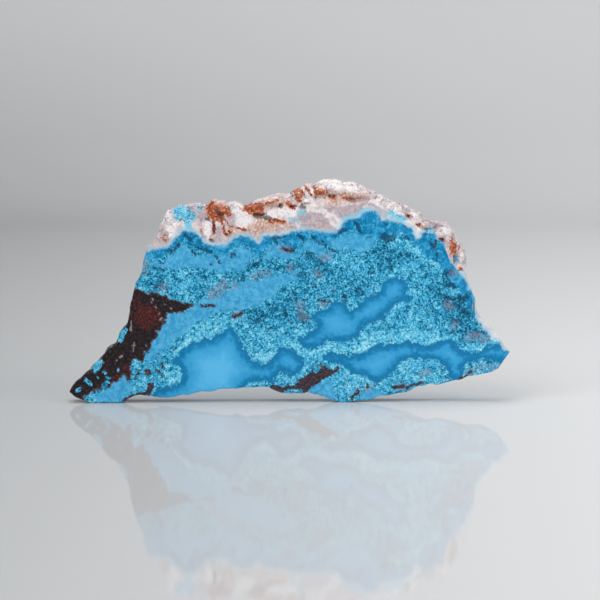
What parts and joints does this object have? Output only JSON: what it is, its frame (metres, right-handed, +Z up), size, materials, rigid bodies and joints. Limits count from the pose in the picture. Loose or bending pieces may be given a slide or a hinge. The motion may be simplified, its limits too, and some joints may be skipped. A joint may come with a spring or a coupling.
{
  "type": "shattuckite slab",
  "caption": "Polished slab of blue shattuckite with a rough quartz and iron-oxide crust along its top, standing on its lower edge",
  "frame": {"origin": "middle of the slab's width and thickness, on the surface that its two level feet stand on", "axes": "+Z up, +X to the viewer's right along the slab's width, -Y out of the polished face"},
  "size_m": [0.1103, 0.008, 0.0556],
  "materials": {
    "shattuckite": "polished face, matte sawn back, rough crust"
  },
  "bodies": {
    "root": {"shattuckite_slab": "shattuckite"}
  },
  "joints": []
}
